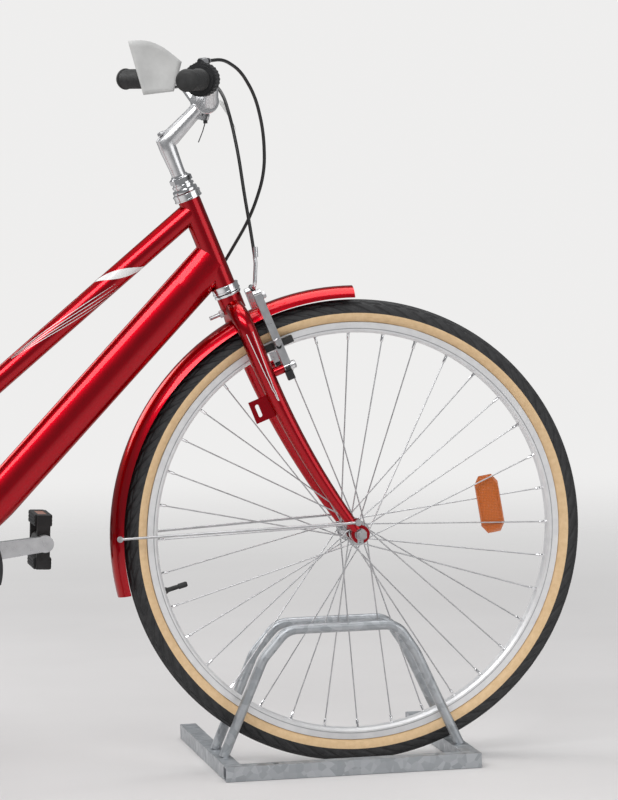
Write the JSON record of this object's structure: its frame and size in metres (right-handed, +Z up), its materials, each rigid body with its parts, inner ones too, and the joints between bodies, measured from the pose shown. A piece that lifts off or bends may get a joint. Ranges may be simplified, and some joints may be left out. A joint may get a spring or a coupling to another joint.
{
  "type": "city bicycle in a display stand",
  "caption": "Step-through city bicycle with mudguards, turning wheels, steering, cranks, pedals and kick stand, its front wheel held in a galvanised display stand.",
  "frame": {"origin": "on the floor, under the middle of the bicycle's length and width", "axes": "+X forward along the length, +Y to the rider's left, +Z up"},
  "size_m": [1.7989, 0.5992, 1.0645],
  "materials": {
    "red_paint": "gloss, metallic candy red",
    "chrome": "polished",
    "polished_alloy": "polished",
    "black_rubber": "matt",
    "black_plastic": "satin",
    "black_metal": "satin",
    "cable_housing": "satin",
    "tyre": "matt, tan side wall",
    "steel": "satin",
    "orange_reflector": "prismatic",
    "red_reflector": "prismatic",
    "saddle_cover": "satin vinyl",
    "galvanised_steel": "dull zinc"
  },
  "bodies": {
    "front_end": {"fork": "red_paint", "headset_nuts": "chrome", "stem": "polished_alloy", "handlebar": "polished_alloy", "grips": "black_rubber", "gear_shifter": "black_plastic", "brake_lever_perch": "black_plastic", "brake_lever": "black_metal", "front_brake_arms": "polished_alloy", "front_brake_shoes": "black_rubber", "brake_noodle": "polished_alloy", "front_brake_cable": "cable_housing", "gear_cable": "cable_housing", "front_mudguard": "red_paint", "front_mudguard_stays": "steel", "front_axle": "steel", "stand_cross_rail": "galvanised_steel", "stand_side_rails": "galvanised_steel", "stand_hoops": "galvanised_steel"},
    "front_wheel": {"front_tyre": "tyre", "front_rim": "polished_alloy", "front_hub": "chrome", "front_spokes": "steel", "front_wheel_reflector": "orange_reflector"},
    "frame": {"head_tube": "red_paint", "headset_cups": "chrome", "top_tube": "red_paint", "down_tube": "red_paint", "seat_tube": "red_paint", "bottom_bracket_shell": "red_paint", "chain_stays": "red_paint", "seat_stays": "red_paint", "rear_dropouts": "red_paint", "stay_bridges": "red_paint", "rear_axle": "steel", "seat_clamp": "chrome", "seat_post": "polished_alloy", "saddle_rails": "steel", "saddle": "saddle_cover", "rear_mudguard": "red_paint", "rear_mudguard_stays": "steel", "rear_reflector": "red_reflector", "chain": "steel", "chain_guard": "black_plastic", "frame_gear_cable": "cable_housing", "kickstand_bracket": "steel"},
    "rear_wheel": {"rear_tyre": "tyre", "rear_rim": "polished_alloy", "rear_hub": "polished_alloy", "rear_spokes": "steel", "rear_wheel_reflector": "orange_reflector"},
    "rear_sprocket": {"rear_sprocket": "steel"},
    "crankset": {"crank_axle": "steel", "left_crank": "polished_alloy", "right_crank": "polished_alloy", "chainring": "steel", "pedal_axles": "steel"},
    "left_pedal": {"left_pedal": "black_rubber"},
    "right_pedal": {"right_pedal": "black_rubber"},
    "kickstand": {"kickstand": "steel"}
  },
  "joints": [
    {"name": "front_wheel_spin", "type": "hinge", "parent": "front_end", "child": "front_wheel", "pos_m": [0.5505, 0, 0.349], "axis": [0, 1, 0], "continuous": true},
    {"name": "steering", "type": "hinge", "parent": "front_end", "child": "frame", "pos_m": [0.34114, 0, 0.78278], "axis": [-0.3584, 0, 0.9336], "range_deg": [-60, 60]},
    {"name": "rear_wheel_spin", "type": "hinge", "parent": "frame", "child": "rear_wheel", "pos_m": [-0.5295, 0, 0.349], "axis": [0, 1, 0], "continuous": true},
    {"name": "crank_spin", "type": "hinge", "parent": "frame", "child": "crankset", "pos_m": [-0.0775, 0, 0.325], "axis": [0, 1, 0], "continuous": true},
    {"name": "sprocket_spin", "type": "hinge", "parent": "frame", "child": "rear_sprocket", "pos_m": [-0.5295, 0, 0.349], "axis": [0, 1, 0], "continuous": true},
    {"name": "left_pedal_spin", "type": "hinge", "parent": "crankset", "child": "left_pedal", "pos_m": [0.09157, 0, 0.34277], "axis": [0, 1, 0], "continuous": true},
    {"name": "right_pedal_spin", "type": "hinge", "parent": "crankset", "child": "right_pedal", "pos_m": [-0.24657, 0, 0.30723], "axis": [0, 1, 0], "continuous": true},
    {"name": "kickstand_swing", "type": "hinge", "parent": "frame", "child": "kickstand", "pos_m": [-0.44403, 0.07884, 0.32092], "axis": [-0.08, 0.995, 0.06], "range_deg": [-104, 0]}
  ],
  "couplings": [
    {"joint": "sprocket_spin", "follows": "crank_spin", "ratio": 2.1111}
  ]
}
